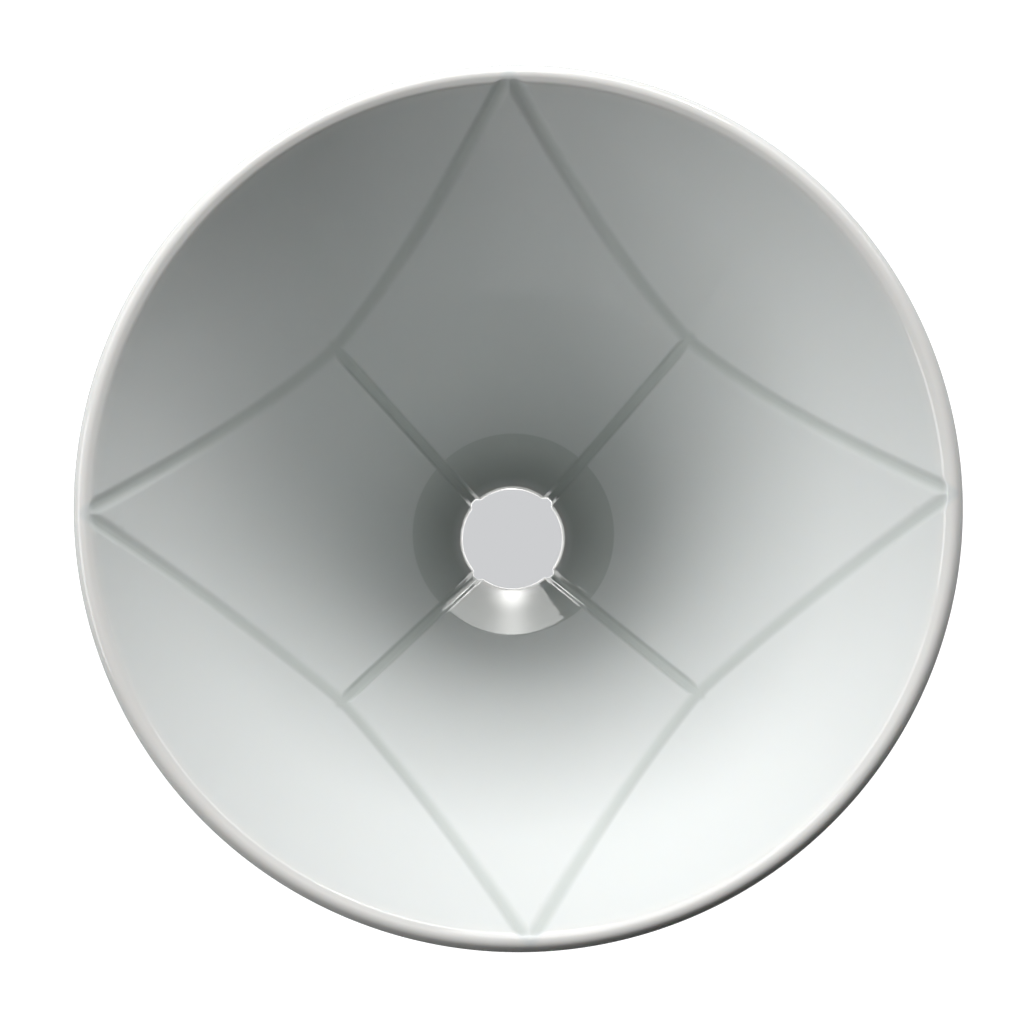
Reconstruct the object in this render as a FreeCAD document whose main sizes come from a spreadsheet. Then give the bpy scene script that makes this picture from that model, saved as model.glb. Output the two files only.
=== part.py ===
import FreeCAD, Part
import os

import Sketcher
from FreeCAD import Placement, Rotation, Vector

# Pour over dripper: a porcelain cone that lifts off a footed porcelain base.
#
# Millimetres, +Z up. The origin is the centre of the foot ring's underside, so the dripper
# stands on z = 0 with its axis on Z. The cone's star has its points on +X, -X, +Y and -Y, and
# the base's windows face +Y and -Y.

# Driving dimensions: name, value, what it is.
SIZES = (
    # cone
    ("lip_radius", 58.0, "outside of the cone's lip"),
    ("wall", 3.0, "thickness of the cone's wall, and of its fully rounded lip"),
    ("cone_half_angle", 30.0, "degrees between the cone's wall and its axis"),
    ("outlet_radius", 8.0, "narrowest radius of the outlet"),
    ("outlet_drop", 5.5, "how far below the collar the cone's inner wall meets the outlet"),
    ("outlet_land", 1.2, "height of the outlet's upright wall"),
    ("outlet_round", 1.0, "rounding of the outlet's two edges"),
    ("neck_wall", 3.5, "thickness of the neck's wall, level with the collar's underside"),
    ("neck_length", 8.0, "how far the neck reaches below the collar, into the base"),
    ("neck_end_width", 2.5, "width of the neck's flat end, around the hollow under the outlet"),
    ("neck_round", 0.6, "rounding of the neck's lower end"),
    ("collar_radius", 24.0, "outside of the collar that the cone sits on"),
    ("collar_height", 5.0, "height of the collar"),
    ("collar_round", 1.4, "rounding of the collar's outer edges"),
    ("collar_blend", 2.4, "hollow rounding between the collar and the cone"),
    # star of channels inside the cone
    ("channel_width", 1.7, "width of every channel"),
    ("channel_depth", 0.6, "depth of every channel, square to the wall"),
    ("channel_joint", 2.1, "diameter of the pool where three channels meet"),
    ("node_radius", 35.8, "distance of those meeting points from the axis"),
    ("point_inset", 1.8, "how far the star's points stay inside the lip's outside"),
    ("point_spread", 0.8, "distance between the two channels of a point, at the lip"),
    ("channel_bow", 0.4, "how far a curved channel bows in from its straight chord, seen from above"),
    # base
    ("foot_radius", 33.0, "outside of the foot ring, which also goes into a mug's mouth"),
    ("foot_wall", 3.5, "thickness of the foot ring"),
    ("foot_round", 1.0, "rounding of the foot ring's lower edges"),
    ("foot_height", 12.0, "height of the plate's underside"),
    ("plate_radius", 48.0, "outside of the plate"),
    ("plate_thickness", 4.2, "thickness of the plate at the hub"),
    ("plate_edge", 3.6, "thickness of the plate at its edge"),
    ("plate_round", 1.5, "rounding of the plate's edge"),
    ("hub_radius", 26.5, "outside of the raised hub around the bore"),
    ("hub_rise", 1.8, "height of the hub above the plate"),
    ("hub_round", 0.8, "rounding of the hub's upper edge"),
    ("window_width", 22.0, "width of each window in the foot ring"),
    ("window_height", 5.5, "height of each window at its middle"),
    ("window_rise", 2.0, "how much the window's arch rises"),
    # gasket
    ("gasket_radius", 22.0, "outside of the gasket's flange"),
    ("gasket_thickness", 1.8, "thickness of the gasket's flange"),
    ("gasket_sleeve", 1.2, "thickness of the gasket's sleeve"),
    ("gasket_reach", 3.0, "how far the sleeve goes down into the bore"),
    ("gasket_round", 0.4, "rounding of the gasket's edges"),
    ("gasket_seat", 0.8, "depth of the hub's recess for the gasket"),
    ("neck_clearance", 0.35, "gap between the neck and the gasket"),
    ("bore_clearance", 0.25, "gap between the gasket's sleeve and the bore"),
    ("seat_clearance", 0.3, "gap around the gasket's flange in its recess"),
    # grip pads
    ("pad_radius", 5.5, "radius of a grip pad"),
    ("pad_thickness", 1.6, "thickness of a grip pad"),
    ("pad_recess", 0.7, "depth of the plate's recess for a grip pad"),
    ("pad_clearance", 0.15, "gap around a grip pad in its recess"),
    ("pad_place_radius", 40.5, "distance of the pads' centres from the axis, where a mug's rim is"),
    ("pad_round", 0.5, "rounding of a grip pad's lower edge"),
)

# Values that follow from the driving ones: name, formula.
WORKED = (
    ("slope", "tan(sizes.cone_half_angle)"),
    ("wall_level", "sizes.wall / cos(sizes.cone_half_angle)"),
    ("hub_top", "sizes.foot_height + sizes.plate_thickness + sizes.hub_rise"),
    ("gasket_bottom", "hub_top - sizes.gasket_seat"),
    ("collar_bottom", "gasket_bottom + sizes.gasket_thickness"),
    ("collar_top", "collar_bottom + sizes.collar_height"),
    ("outlet_height", "collar_bottom - sizes.outlet_drop"),
    ("neck_end", "collar_bottom - sizes.neck_length"),
    ("neck_radius", "sizes.outlet_radius + sizes.outlet_drop * slope + sizes.neck_wall"),
    ("drip_radius", "neck_radius - sizes.neck_end_width"),
    ("collar_meets_cone", "sizes.outlet_radius + (collar_top - outlet_height) * slope + wall_level"),
    ("lip_round", "sizes.wall / 2"),
    ("lip_inner_radius", "sizes.lip_radius - lip_round * (1 + cos(sizes.cone_half_angle))"),
    ("lip_inner_height", "outlet_height + (lip_inner_radius - sizes.outlet_radius) / slope"),
    ("lip_outer_radius", "lip_inner_radius + sizes.wall * cos(sizes.cone_half_angle)"),
    ("lip_outer_height", "lip_inner_height - sizes.wall * sin(sizes.cone_half_angle)"),
    ("lip_top", "lip_inner_height + lip_round * (1 - sin(sizes.cone_half_angle))"),
    ("sleeve_inner", "neck_radius + sizes.neck_clearance"),
    ("sleeve_outer", "sleeve_inner + sizes.gasket_sleeve"),
    ("bore_radius", "sleeve_outer + sizes.bore_clearance"),
    ("channel_level", "sizes.channel_depth / cos(sizes.cone_half_angle)"),
    # A curved channel runs from a node (on a diagonal) to its end at the lip, beside the +Y axis.
    ("point_radius", "sizes.lip_radius - sizes.point_inset"),
    ("node_across", "sizes.node_radius * cos(45)"),
    ("point_across", "sizes.point_spread / 2"),
    ("chord_x", "node_across - point_across"),
    ("chord_y", "node_across - point_radius"),
    ("chord", "sqrt(chord_x ^ 2 + chord_y ^ 2)"),
    ("bend_radius", "chord ^ 2 / (8 * sizes.channel_bow) + sizes.channel_bow / 2"),
    ("bend_x",
     "(node_across + point_across) / 2 - chord_y / chord * (bend_radius - sizes.channel_bow)"),
    ("bend_y",
     "(node_across + point_radius) / 2 + chord_x / chord * (bend_radius - sizes.channel_bow)"),
    ("bend_far", "1 + sizes.channel_width / (2 * bend_radius)"),
    ("bend_near", "1 - sizes.channel_width / (2 * bend_radius)"),
    ("arch_radius",
     "sizes.window_width ^ 2 / (8 * sizes.window_rise) + sizes.window_rise / 2"),
)

PADS = 3
STAR_POINTS = 4
CUT_MARGIN = 3.0
EDGE_TOLERANCE = 0.001


def make_sizes(doc):
    """Put the driving dimensions in a spreadsheet and the worked-out ones in a variable set."""
    sheet = doc.addObject("Spreadsheet::Sheet", "sizes")
    for row, (name, value, note) in enumerate(SIZES, start=1):
        sheet.set(f"A{row}", name)
        sheet.set(f"B{row}", str(value))
        sheet.setAlias(f"B{row}", name)
        sheet.set(f"C{row}", note)
    doc.recompute()
    worked = doc.addObject("App::VarSet", "worked")
    for name, formula in WORKED:
        worked.addProperty("App::PropertyFloat", name, "")
        worked.setExpression(name, formula)
        doc.recompute()


def value_of(doc, formula):
    """Return what a formula on the sheet and the variable set comes to."""
    return float(doc.getObject("worked").evalExpression(formula))


def new_body(doc, name):
    """Add an empty body whose Label is its name."""
    body = doc.addObject("PartDesign::Body", name)
    body.Label = name
    return body


def new_sketch(body, name, plane, height="0", turn=0.0):
    """Add a sketch on one of the body's own planes, raised by a formula and turned in degrees."""
    sketch = body.newObject("Sketcher::SketchObject", name)
    origin_plane = next(item for item in body.Origin.OriginFeatures if item.Role == plane)
    sketch.AttachmentSupport = [(origin_plane, "")]
    sketch.MapMode = "FlatFace"
    sketch.AttachmentOffset = Placement(Vector(0, 0, 0), Rotation(Vector(0, 0, 1), turn))
    sketch.setExpression("AttachmentOffset.Base.z", height)
    return sketch


def bind(sketch, kind, where, formula):
    """Add a dimension to a sketch and tie it to a formula."""
    value = value_of(sketch.Document, formula)
    index = sketch.addConstraint(Sketcher.Constraint(kind, *where, value))
    sketch.setExpression(f"Constraints[{index}]", formula)


def hold_point(sketch, edge, point, x, y):
    """Hold a point of a sketch edge at (x, y), both formulas."""
    bind(sketch, "DistanceX", (-1, 1, edge, point), x)
    bind(sketch, "DistanceY", (-1, 1, edge, point), y)


def draw_circle(sketch, x, y, radius):
    """Draw a circle in a sketch; its centre and radius are formulas."""
    doc = sketch.Document
    centre = Vector(value_of(doc, x), value_of(doc, y), 0)
    edge = sketch.addGeometry(Part.Circle(centre, Vector(0, 0, 1), value_of(doc, radius)), False)
    hold_point(sketch, edge, 3, x, y)
    bind(sketch, "Radius", (edge,), radius)


def draw_outline(sketch, corners, arcs=None):
    """Draw a closed outline in a sketch through corners, which are pairs of formulas.

    arcs maps a corner's index to (centre x, centre y, clockwise) of the arc from that corner to
    the next one; the other stretches are straight.
    """
    doc = sketch.Document
    arcs = arcs or {}
    points = [Vector(value_of(doc, x), value_of(doc, y), 0) for x, y in corners]
    edges = []
    for index, start in enumerate(points):
        end = points[(index + 1) % len(points)]
        if index in arcs:
            edges.append(add_arc(sketch, start, end, *arcs[index]))
        else:
            edges.append((sketch.addGeometry(Part.LineSegment(start, end), False), 1, 2))
    for index, (edge, first, _) in enumerate(edges):
        before, _, last = edges[index - 1]
        hold_point(sketch, edge, first, *corners[index])
        sketch.addConstraint(Sketcher.Constraint("Coincident", before, last, edge, first))
    for index, (centre_x, centre_y, _) in arcs.items():
        edge = edges[index][0]
        chord = points[(index + 1) % len(points)] - points[index]
        if abs(chord.x) > abs(chord.y):
            bind(sketch, "DistanceY", (-1, 1, edge, 3), centre_y)
        else:
            bind(sketch, "DistanceX", (-1, 1, edge, 3), centre_x)


def add_arc(sketch, start, end, centre_x, centre_y, clockwise):
    """Add an arc to a sketch, and return its number and which of its ends comes first and last."""
    doc = sketch.Document
    centre = Vector(value_of(doc, centre_x), value_of(doc, centre_y), 0)
    first, last = (end, start) if clockwise else (start, end)
    circle = Part.Circle(centre, Vector(0, 0, 1), (first - centre).Length)
    arc = Part.ArcOfCircle(circle, circle.parameter(first), circle.parameter(last))
    edge = sketch.addGeometry(arc, False)
    return (edge, 2, 1) if clockwise else (edge, 1, 2)


def revolve(body, name, corners, arcs=None):
    """Turn an outline of (radius, height) formulas about the body's Z axis into a solid."""
    sketch = new_sketch(body, name + "_outline", "XZ_Plane")
    draw_outline(sketch, corners, arcs)
    solid = body.newObject("PartDesign::Revolution", name)
    solid.Profile = sketch
    solid.ReferenceAxis = (sketch, ["V_Axis"])
    solid.Angle = 360
    sketch.Document.recompute()
    return solid


def pad_up(body, name, sketch, length):
    """Pad a sketch upwards by a formula."""
    pad = body.newObject("PartDesign::Pad", name)
    pad.Profile = sketch
    pad.setExpression("Length", length)
    sketch.Document.recompute()
    return pad


def repeat_round_axis(body, name, features, count):
    """Repeat features around the body's Z axis and make the result the body's tip."""
    pattern = body.newObject("PartDesign::PolarPattern", name)
    pattern.Originals = features
    z_axis = next(item for item in body.Origin.OriginFeatures if item.Role == "Z_Axis")
    pattern.Axis = (z_axis, [""])
    pattern.Angle = 360
    pattern.Occurrences = count
    body.Tip = pattern
    body.Document.recompute()
    return pattern


def round_rings(body, name, rings, radius):
    """Fillet the circular edges at (radius, height) formulas, all by one radius formula."""
    doc = body.Document
    tip = body.Tip
    wanted = [(value_of(doc, ring_radius), value_of(doc, height)) for ring_radius, height in rings]
    names = []
    for number, edge in enumerate(tip.Shape.Edges, start=1):
        if not isinstance(edge.Curve, Part.Circle):
            continue
        centre = edge.Curve.Center
        on_axis = abs(centre.x) + abs(centre.y) < EDGE_TOLERANCE
        for ring_radius, height in wanted:
            same = abs(edge.Curve.Radius - ring_radius) + abs(centre.z - height) < EDGE_TOLERANCE
            if on_axis and same:
                names.append(f"Edge{number}")
    if len(names) < len(rings):
        raise RuntimeError(f"{name}: found {len(names)} of {len(rings)} edges")
    fillet = body.newObject("PartDesign::Fillet", name)
    fillet.Base = (tip, names)
    fillet.setExpression("Radius", radius)
    body.Tip = fillet
    doc.recompute()
    return fillet


def make_cone_blank(doc):
    """The porcelain cone before its channels: wall, rounded lip, collar and neck."""
    body = new_body(doc, "cone_blank")
    corners = [
        ("sizes.outlet_radius", "worked.outlet_height"),
        ("worked.lip_inner_radius", "worked.lip_inner_height"),
        ("worked.lip_outer_radius", "worked.lip_outer_height"),
        ("worked.collar_meets_cone", "worked.collar_top"),
        ("sizes.collar_radius", "worked.collar_top"),
        ("sizes.collar_radius", "worked.collar_bottom"),
        ("worked.neck_radius", "worked.collar_bottom"),
        ("worked.neck_radius", "worked.neck_end"),
        ("worked.drip_radius", "worked.neck_end"),
        ("sizes.outlet_radius", "worked.outlet_height - sizes.outlet_land"),
    ]
    lip = ("sizes.lip_radius - worked.lip_round",
           "(worked.lip_inner_height + worked.lip_outer_height) / 2", True)
    revolve(body, "cone_wall", corners, {1: lip})
    outlet = [corners[0], corners[9]]
    round_rings(body, "outlet_rounding", outlet, "sizes.outlet_round")
    round_rings(body, "neck_rounding", [corners[7], corners[8]], "sizes.neck_round")
    round_rings(body, "collar_rounding", [corners[4], corners[5]], "sizes.collar_round")
    round_rings(body, "collar_blending", [corners[3]], "sizes.collar_blend")
    return body


def draw_curved_channel(sketch, swapped):
    """Draw the plan of one curved channel, from a junction to a point beside +Y, or +X if swapped."""
    def corner(x, y, share):
        return (f"worked.bend_x + ({x} - worked.bend_x) * {share}",
                f"worked.bend_y + ({y} - worked.bend_y) * {share}")

    node = ("worked.node_across", "worked.node_across")
    point = ("worked.point_across", "worked.point_radius")
    corners = [
        corner(*node, "worked.bend_far"),
        corner(*point, "worked.bend_far"),
        corner(*point, "worked.bend_near"),
        corner(*node, "worked.bend_near"),
    ]
    centre = ("worked.bend_x", "worked.bend_y")
    if swapped:
        corners = [(y, x) for x, y in corners]
        centre = (centre[1], centre[0])
    arcs = {0: (*centre, not swapped), 2: (*centre, swapped)}
    draw_outline(sketch, corners, arcs)


def make_channel_walls(doc):
    """Upright walls that stand wherever the star's channels run, seen from above."""
    body = new_body(doc, "channel_walls")
    low = f"worked.neck_end - {CUT_MARGIN}"
    tall = f"worked.lip_top - worked.neck_end + {2 * CUT_MARGIN}"
    half = "sizes.channel_width / 2"
    arm = new_sketch(body, "arm_plan", "XY_Plane", low, turn=45.0)
    draw_outline(arm, [
        ("0", f"-{half}"),
        ("sizes.node_radius", f"-{half}"),
        ("sizes.node_radius", half),
        ("0", half),
    ])
    pool = new_sketch(body, "pool_plan", "XY_Plane", low)
    draw_circle(pool, "worked.node_across", "worked.node_across", "sizes.channel_joint / 2")
    curves = new_sketch(body, "curve_plan", "XY_Plane", low)
    draw_curved_channel(curves, swapped=False)
    draw_curved_channel(curves, swapped=True)
    walls = [
        pad_up(body, "arm_wall", arm, tall),
        pad_up(body, "pool_wall", pool, tall),
        pad_up(body, "curve_walls", curves, tall),
    ]
    repeat_round_axis(body, "star_of_walls", walls, STAR_POINTS)
    return body


def make_channel_floor(doc):
    """The space inside the channels' floors: the cone's inside grown by the channel depth."""
    body = new_body(doc, "channel_floor")
    low = f"worked.neck_end - {CUT_MARGIN}"
    high = f"worked.lip_top + {CUT_MARGIN}"
    start = "sizes.outlet_radius + worked.channel_level"
    revolve(body, "floor_cone", [
        ("0", low),
        (start, low),
        (start, "worked.outlet_height"),
        (f"{start} + ({high} - worked.outlet_height) * worked.slope", high),
        ("0", high),
    ])
    return body


def make_cone(doc):
    """The finished cone: the blank with the star of channels cut into its inner wall."""
    blank = make_cone_blank(doc)
    star = doc.addObject("Part::Common", "channel_star")
    star.Base = make_channel_walls(doc)
    star.Tool = make_channel_floor(doc)
    cone = doc.addObject("Part::Cut", "cone_body")
    cone.Label = "cone_body"
    cone.Base = blank
    cone.Tool = star
    doc.recompute()
    must_be_smaller(cone.Shape, blank.Shape, "channels")
    return cone


def make_gasket(doc):
    """The silicone grommet: a flange under the collar and a sleeve between neck and bore."""
    body = new_body(doc, "seat_gasket")
    sleeve_end = "worked.gasket_bottom - sizes.gasket_reach"
    corners = [
        ("worked.sleeve_inner", sleeve_end),
        ("worked.sleeve_inner", "worked.collar_bottom"),
        ("sizes.gasket_radius", "worked.collar_bottom"),
        ("sizes.gasket_radius", "worked.gasket_bottom"),
        ("worked.sleeve_outer", "worked.gasket_bottom"),
        ("worked.sleeve_outer", sleeve_end),
    ]
    revolve(body, "gasket_ring", corners)
    outside = [corners[0], corners[1], corners[2], corners[3], corners[5]]
    round_rings(body, "gasket_rounding", outside, "sizes.gasket_round")
    return body


def make_base(doc):
    """The porcelain base: plate, raised hub with the bore, foot ring, windows and recesses."""
    body = new_body(doc, "base_plate")
    plate_top = "sizes.foot_height + sizes.plate_thickness"
    recess = "sizes.gasket_radius + sizes.seat_clearance"
    foot_inside = "sizes.foot_radius - sizes.foot_wall"
    corners = [
        ("worked.bore_radius", "sizes.foot_height"),
        ("worked.bore_radius", "worked.gasket_bottom"),
        (recess, "worked.gasket_bottom"),
        (recess, "worked.hub_top"),
        ("sizes.hub_radius", "worked.hub_top"),
        ("sizes.hub_radius", plate_top),
        ("sizes.plate_radius", "sizes.foot_height + sizes.plate_edge"),
        ("sizes.plate_radius", "sizes.foot_height"),
        ("sizes.foot_radius", "sizes.foot_height"),
        ("sizes.foot_radius", "0"),
        (foot_inside, "0"),
        (foot_inside, "sizes.foot_height"),
    ]
    revolve(body, "base_ring", corners)
    round_rings(body, "hub_rounding", [corners[4], corners[5]], "sizes.hub_round")
    round_rings(body, "plate_rounding", [corners[6], corners[7]], "sizes.plate_round")
    foot = [corners[8], corners[9], corners[10], corners[11]]
    round_rings(body, "foot_rounding", foot, "sizes.foot_round")
    cut_windows(body)
    cut_pad_recesses(body)
    return body


def cut_windows(body):
    """Cut two arched windows through the foot ring, facing +Y and -Y."""
    before = body.Shape
    half = "sizes.window_width / 2"
    spring = "sizes.window_height - sizes.window_rise"
    sketch = new_sketch(body, "window_outline", "XZ_Plane")
    draw_outline(sketch, [
        (f"-{half}", f"-{CUT_MARGIN}"),
        (half, f"-{CUT_MARGIN}"),
        (half, spring),
        (f"-{half}", spring),
    ], {2: ("0", "sizes.window_height - worked.arch_radius", False)})
    windows = body.newObject("PartDesign::Pocket", "windows")
    windows.Profile = sketch
    windows.SideType = "Symmetric"
    windows.setExpression("Length", f"2 * (sizes.foot_radius + {CUT_MARGIN})")
    body.Tip = windows
    body.Document.recompute()
    must_be_smaller(body.Shape, before, "windows")


def cut_pad_recesses(body):
    """Sink a round recess for each grip pad into the plate's underside."""
    before = body.Shape
    sketch = new_sketch(body, "pad_recess_plan", "XY_Plane", "sizes.foot_height")
    draw_circle(sketch, "sizes.pad_place_radius", "0", "sizes.pad_radius + sizes.pad_clearance")
    recess = body.newObject("PartDesign::Pocket", "pad_recess")
    recess.Profile = sketch
    recess.Reversed = True
    recess.setExpression("Length", "sizes.pad_recess")
    body.Tip = recess
    body.Document.recompute()
    must_be_smaller(body.Shape, before, "pad recess")
    one_cut = body.Shape
    repeat_round_axis(body, "pad_recesses", [recess], PADS)
    must_be_smaller(body.Shape, one_cut, "pad recesses")


def make_grip_pad(doc, number):
    """One silicone pad, in its recess under the plate; the first one is on +X."""
    body = new_body(doc, f"grip_pad_{number}")
    bottom = "sizes.foot_height + sizes.pad_recess - sizes.pad_thickness"
    sketch = new_sketch(body, f"pad_plan_{number}", "XY_Plane", bottom)
    draw_circle(sketch, "sizes.pad_place_radius", "0", "sizes.pad_radius")
    pad = pad_up(body, f"pad_disc_{number}", sketch, "sizes.pad_thickness")
    low_edge = min(range(len(pad.Shape.Edges)), key=lambda i: pad.Shape.Edges[i].BoundBox.ZMax)
    fillet = body.newObject("PartDesign::Fillet", f"pad_rounding_{number}")
    fillet.Base = (pad, [f"Edge{low_edge + 1}"])
    fillet.setExpression("Radius", "sizes.pad_round")
    body.Tip = fillet
    body.Placement = Placement(Vector(0, 0, 0),
                               Rotation(Vector(0, 0, 1), 360.0 * (number - 1) / PADS))
    doc.recompute()
    return body


def must_be_smaller(after, before, what):
    """Stop if a cut took nothing away."""
    if not after.Volume < before.Volume - EDGE_TOLERANCE:
        raise RuntimeError(f"{what}: the cut removed nothing")


def check_and_export(doc, subparts):
    """Stop on any failed object or bad shape, then write one STEP file for each sub-part."""
    for item in doc.Objects:
        if "Invalid" in item.State or "Error" in item.State:
            raise RuntimeError(f"{item.Label} failed: {item.State}")
    os.makedirs("parts", exist_ok=True)
    for item in subparts:
        shape = item.Shape
        if shape.isNull() or not shape.isValid():
            raise RuntimeError(f"{item.Label} has no valid shape")
        if len(shape.Solids) != 1:
            raise RuntimeError(f"{item.Label} is {len(shape.Solids)} solids")
        shape.exportStep(f"parts/{item.Label}.step")
        print(f"{item.Label}: {shape.Volume:.1f} mm3, top at {shape.BoundBox.ZMax:.2f}")


def main():
    """Build the dripper and write its sub-parts."""
    doc = FreeCAD.newDocument("pour_over_dripper")
    make_sizes(doc)
    subparts = [make_cone(doc), make_gasket(doc), make_base(doc)]
    subparts += [make_grip_pad(doc, number) for number in range(1, PADS + 1)]
    doc.recompute()
    check_and_export(doc, subparts)


main()
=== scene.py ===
import logging
import math
from dataclasses import dataclass, field
from enum import Enum

import bmesh
import bpy
import numpy as np
from mathutils import Matrix, Vector


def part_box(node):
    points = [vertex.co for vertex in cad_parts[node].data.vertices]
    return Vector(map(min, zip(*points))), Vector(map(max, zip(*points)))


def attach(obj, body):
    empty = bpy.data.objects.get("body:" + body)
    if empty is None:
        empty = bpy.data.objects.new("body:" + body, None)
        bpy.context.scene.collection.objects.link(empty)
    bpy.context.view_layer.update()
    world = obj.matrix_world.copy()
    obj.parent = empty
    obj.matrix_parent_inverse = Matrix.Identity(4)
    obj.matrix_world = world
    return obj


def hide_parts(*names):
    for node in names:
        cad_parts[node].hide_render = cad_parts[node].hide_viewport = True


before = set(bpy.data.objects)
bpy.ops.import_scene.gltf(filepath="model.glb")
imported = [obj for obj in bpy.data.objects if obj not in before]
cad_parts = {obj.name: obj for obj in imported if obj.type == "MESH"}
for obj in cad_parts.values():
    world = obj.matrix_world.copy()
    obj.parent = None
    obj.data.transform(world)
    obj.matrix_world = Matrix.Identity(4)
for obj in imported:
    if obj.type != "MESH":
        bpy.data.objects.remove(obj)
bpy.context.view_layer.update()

# Pour over dripper: a glazed porcelain cone that lifts off a footed porcelain base, with a
# silicone gasket between them and silicone pads under the base. The frame is in metres; the
# sizes in the classes are in millimetres, as a potter's drawing has them.

MM = 0.001
LOG = logging.getLogger("pour_over_dripper")
# The glaze attribute: glaze thickness with painted shade in the channels, a painted dark reflection
# round the outlet and painted glow at its rim.
GLAZE_AND_LIGHT_ATTRIBUTE = "glaze_and_painted_light"
GLOW_ATTRIBUTE = "card_glow"
SHARP_EDGE = math.radians(42)
Numbers = float | np.ndarray


# ---------------------------------------------------------------------------------------------
# Helpers
# ---------------------------------------------------------------------------------------------

def linear(hex_colour: str) -> tuple[float, float, float, float]:
    """Turn an sRGB hex colour into Blender's linear RGBA.

    Args:
        hex_colour: such as "#EEF1EF".

    Returns:
        Red, green, blue and an alpha of 1.
    """
    parts = [int(hex_colour[place:place + 2], 16) / 255 for place in (1, 3, 5)]
    light = [part / 12.92 if part <= 0.04045 else ((part + 0.055) / 1.055) ** 2.4 for part in parts]
    return (*light, 1.0)


def smoothstep(low: Numbers, high: Numbers, value: Numbers) -> Numbers:
    """Rise smoothly from 0 at low to 1 at high.

    Args:
        low: where the rise starts.
        high: where it ends.
        value: where it is read.

    Returns:
        A share from 0 to 1.
    """
    share = np.clip((value - low) / (high - low), 0.0, 1.0)
    return share * share * (3.0 - 2.0 * share)


def per_metre(millimetres: float) -> float:
    """Return the texture scale that repeats a pattern every so many millimetres."""
    return 1.0 / (millimetres * MM)


def add_node(tree: bpy.types.NodeTree, kind: str, settings: dict | None = None,
             inputs: dict | None = None) -> bpy.types.Node:
    """Add one shader node with its settings and links.

    Args:
        tree: the node tree that gets the node.
        kind: Blender's name for the node's type.
        settings: the node's own options, by name.
        inputs: sockets by name or number, each a plain value or an output socket to link.

    Returns:
        The new node.
    """
    node = tree.nodes.new(kind)
    for name, value in (settings or {}).items():
        setattr(node, name, value)
    for name, value in (inputs or {}).items():
        if isinstance(value, bpy.types.NodeSocket):
            tree.links.new(value, node.inputs[name])
        else:
            node.inputs[name].default_value = value
    return node


def new_material(name: str) -> tuple[bpy.types.Material, bpy.types.NodeTree]:
    """Make an empty node material.

    Args:
        name: the material's name.

    Returns:
        The material and its node tree.
    """
    material = bpy.data.materials.new(name)
    material.use_nodes = True
    material.node_tree.nodes.clear()
    return material, material.node_tree


class Body(Enum):
    """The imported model's bodies, which the pieces ride on."""

    BASE = "base"
    GASKET = "gasket"
    CONE = "cone"


class Slot(Enum):
    """The record's material slots."""

    CONE_GLAZE = "cone_glaze"
    BASE_GLAZE = "base_glaze"
    GASKET_SILICONE = "gasket_silicone"
    PAD_SILICONE = "pad_silicone"


class GlazeAndPaintedLight(Enum):
    """Named values of the glaze attribute, with its painted light: pooled is painted darker as
    shade, thin lighter as glow at the outlet's rim.
    """

    THIN = 0.0
    EVEN = 0.5
    POOLED_AND_SHADED = 1.0


# ---------------------------------------------------------------------------------------------
# Finishes
# ---------------------------------------------------------------------------------------------

@dataclass(frozen=True)
class GlazedPorcelain:
    """Slip-cast hard-paste porcelain, dipped in clear glaze and fired.

    The eye sees a white body under a smooth glass skin: sharp reflections that barely ripple,
    faintly green glaze where it pools in a hollow, painted darker there as shade, and a warmer,
    thinner skin over the edges, painted lighter as glow at the outlet's rim.
    """

    name: str = "glazed_porcelain"
    # The thin colour is thin glaze over the edges, painted lighter and warmer as glow at the
    # outlet's rim.
    thin_glaze_and_glow: str = "#F3F2EF"
    even_glaze: str = "#E9ECEB"
    # The pooled colour is glaze pooled in hollows, painted darker as shade in the channels.
    pooled_glaze_and_shade: str = "#D4D9D6"
    ior: float = 1.5
    roughness: float = 0.02
    roughness_spread: float = 0.02
    ripple_mm: float = 13.0
    ripple_height_mm: float = 0.006
    clouding_mm: float = 22.0
    glow_mm: float = 1.2
    glow_share: float = 0.12

    def make(self) -> bpy.types.Material:
        """Build the node material."""
        material, tree = new_material(self.name)
        place = add_node(tree, "ShaderNodeTexCoord").outputs["Object"]
        thickness = add_node(tree, "ShaderNodeAttribute", {"attribute_name": GLAZE_AND_LIGHT_ATTRIBUTE})
        tint = add_node(tree, "ShaderNodeValToRGB", inputs={"Fac": thickness.outputs["Fac"]})
        ramp = tint.color_ramp
        ramp.elements[0].color = linear(self.thin_glaze_and_glow)
        ramp.elements[1].color = linear(self.pooled_glaze_and_shade)
        ramp.elements.new(GlazeAndPaintedLight.EVEN.value).color = linear(self.even_glaze)
        clouds = add_node(tree, "ShaderNodeTexNoise", inputs={
            "Vector": place, "Scale": per_metre(self.clouding_mm), "Detail": 3.0})
        gloss = add_node(tree, "ShaderNodeMapRange", inputs={
            "Value": clouds.outputs["Fac"], "From Min": 0.3, "From Max": 0.7,
            "To Min": self.roughness, "To Max": self.roughness + self.roughness_spread})
        ripple = add_node(tree, "ShaderNodeTexNoise", inputs={
            "Vector": place, "Scale": per_metre(self.ripple_mm), "Detail": 1.0})
        skin = add_node(tree, "ShaderNodeBump", inputs={
            "Height": ripple.outputs["Fac"], "Strength": 1.0,
            "Distance": self.ripple_height_mm * MM})
        shader = add_node(tree, "ShaderNodeBsdfPrincipled", inputs={
            "Base Color": tint.outputs["Color"],
            "Roughness": gloss.outputs["Result"],
            "Normal": skin.outputs["Normal"],
            "IOR": self.ior,
            "Subsurface Weight": self.glow_share,
            "Subsurface Radius": (1.0, 0.82, 0.66),
            "Subsurface Scale": self.glow_mm * MM,
        })
        add_node(tree, "ShaderNodeOutputMaterial", inputs={"Surface": shader.outputs["BSDF"]})
        return material


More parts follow.
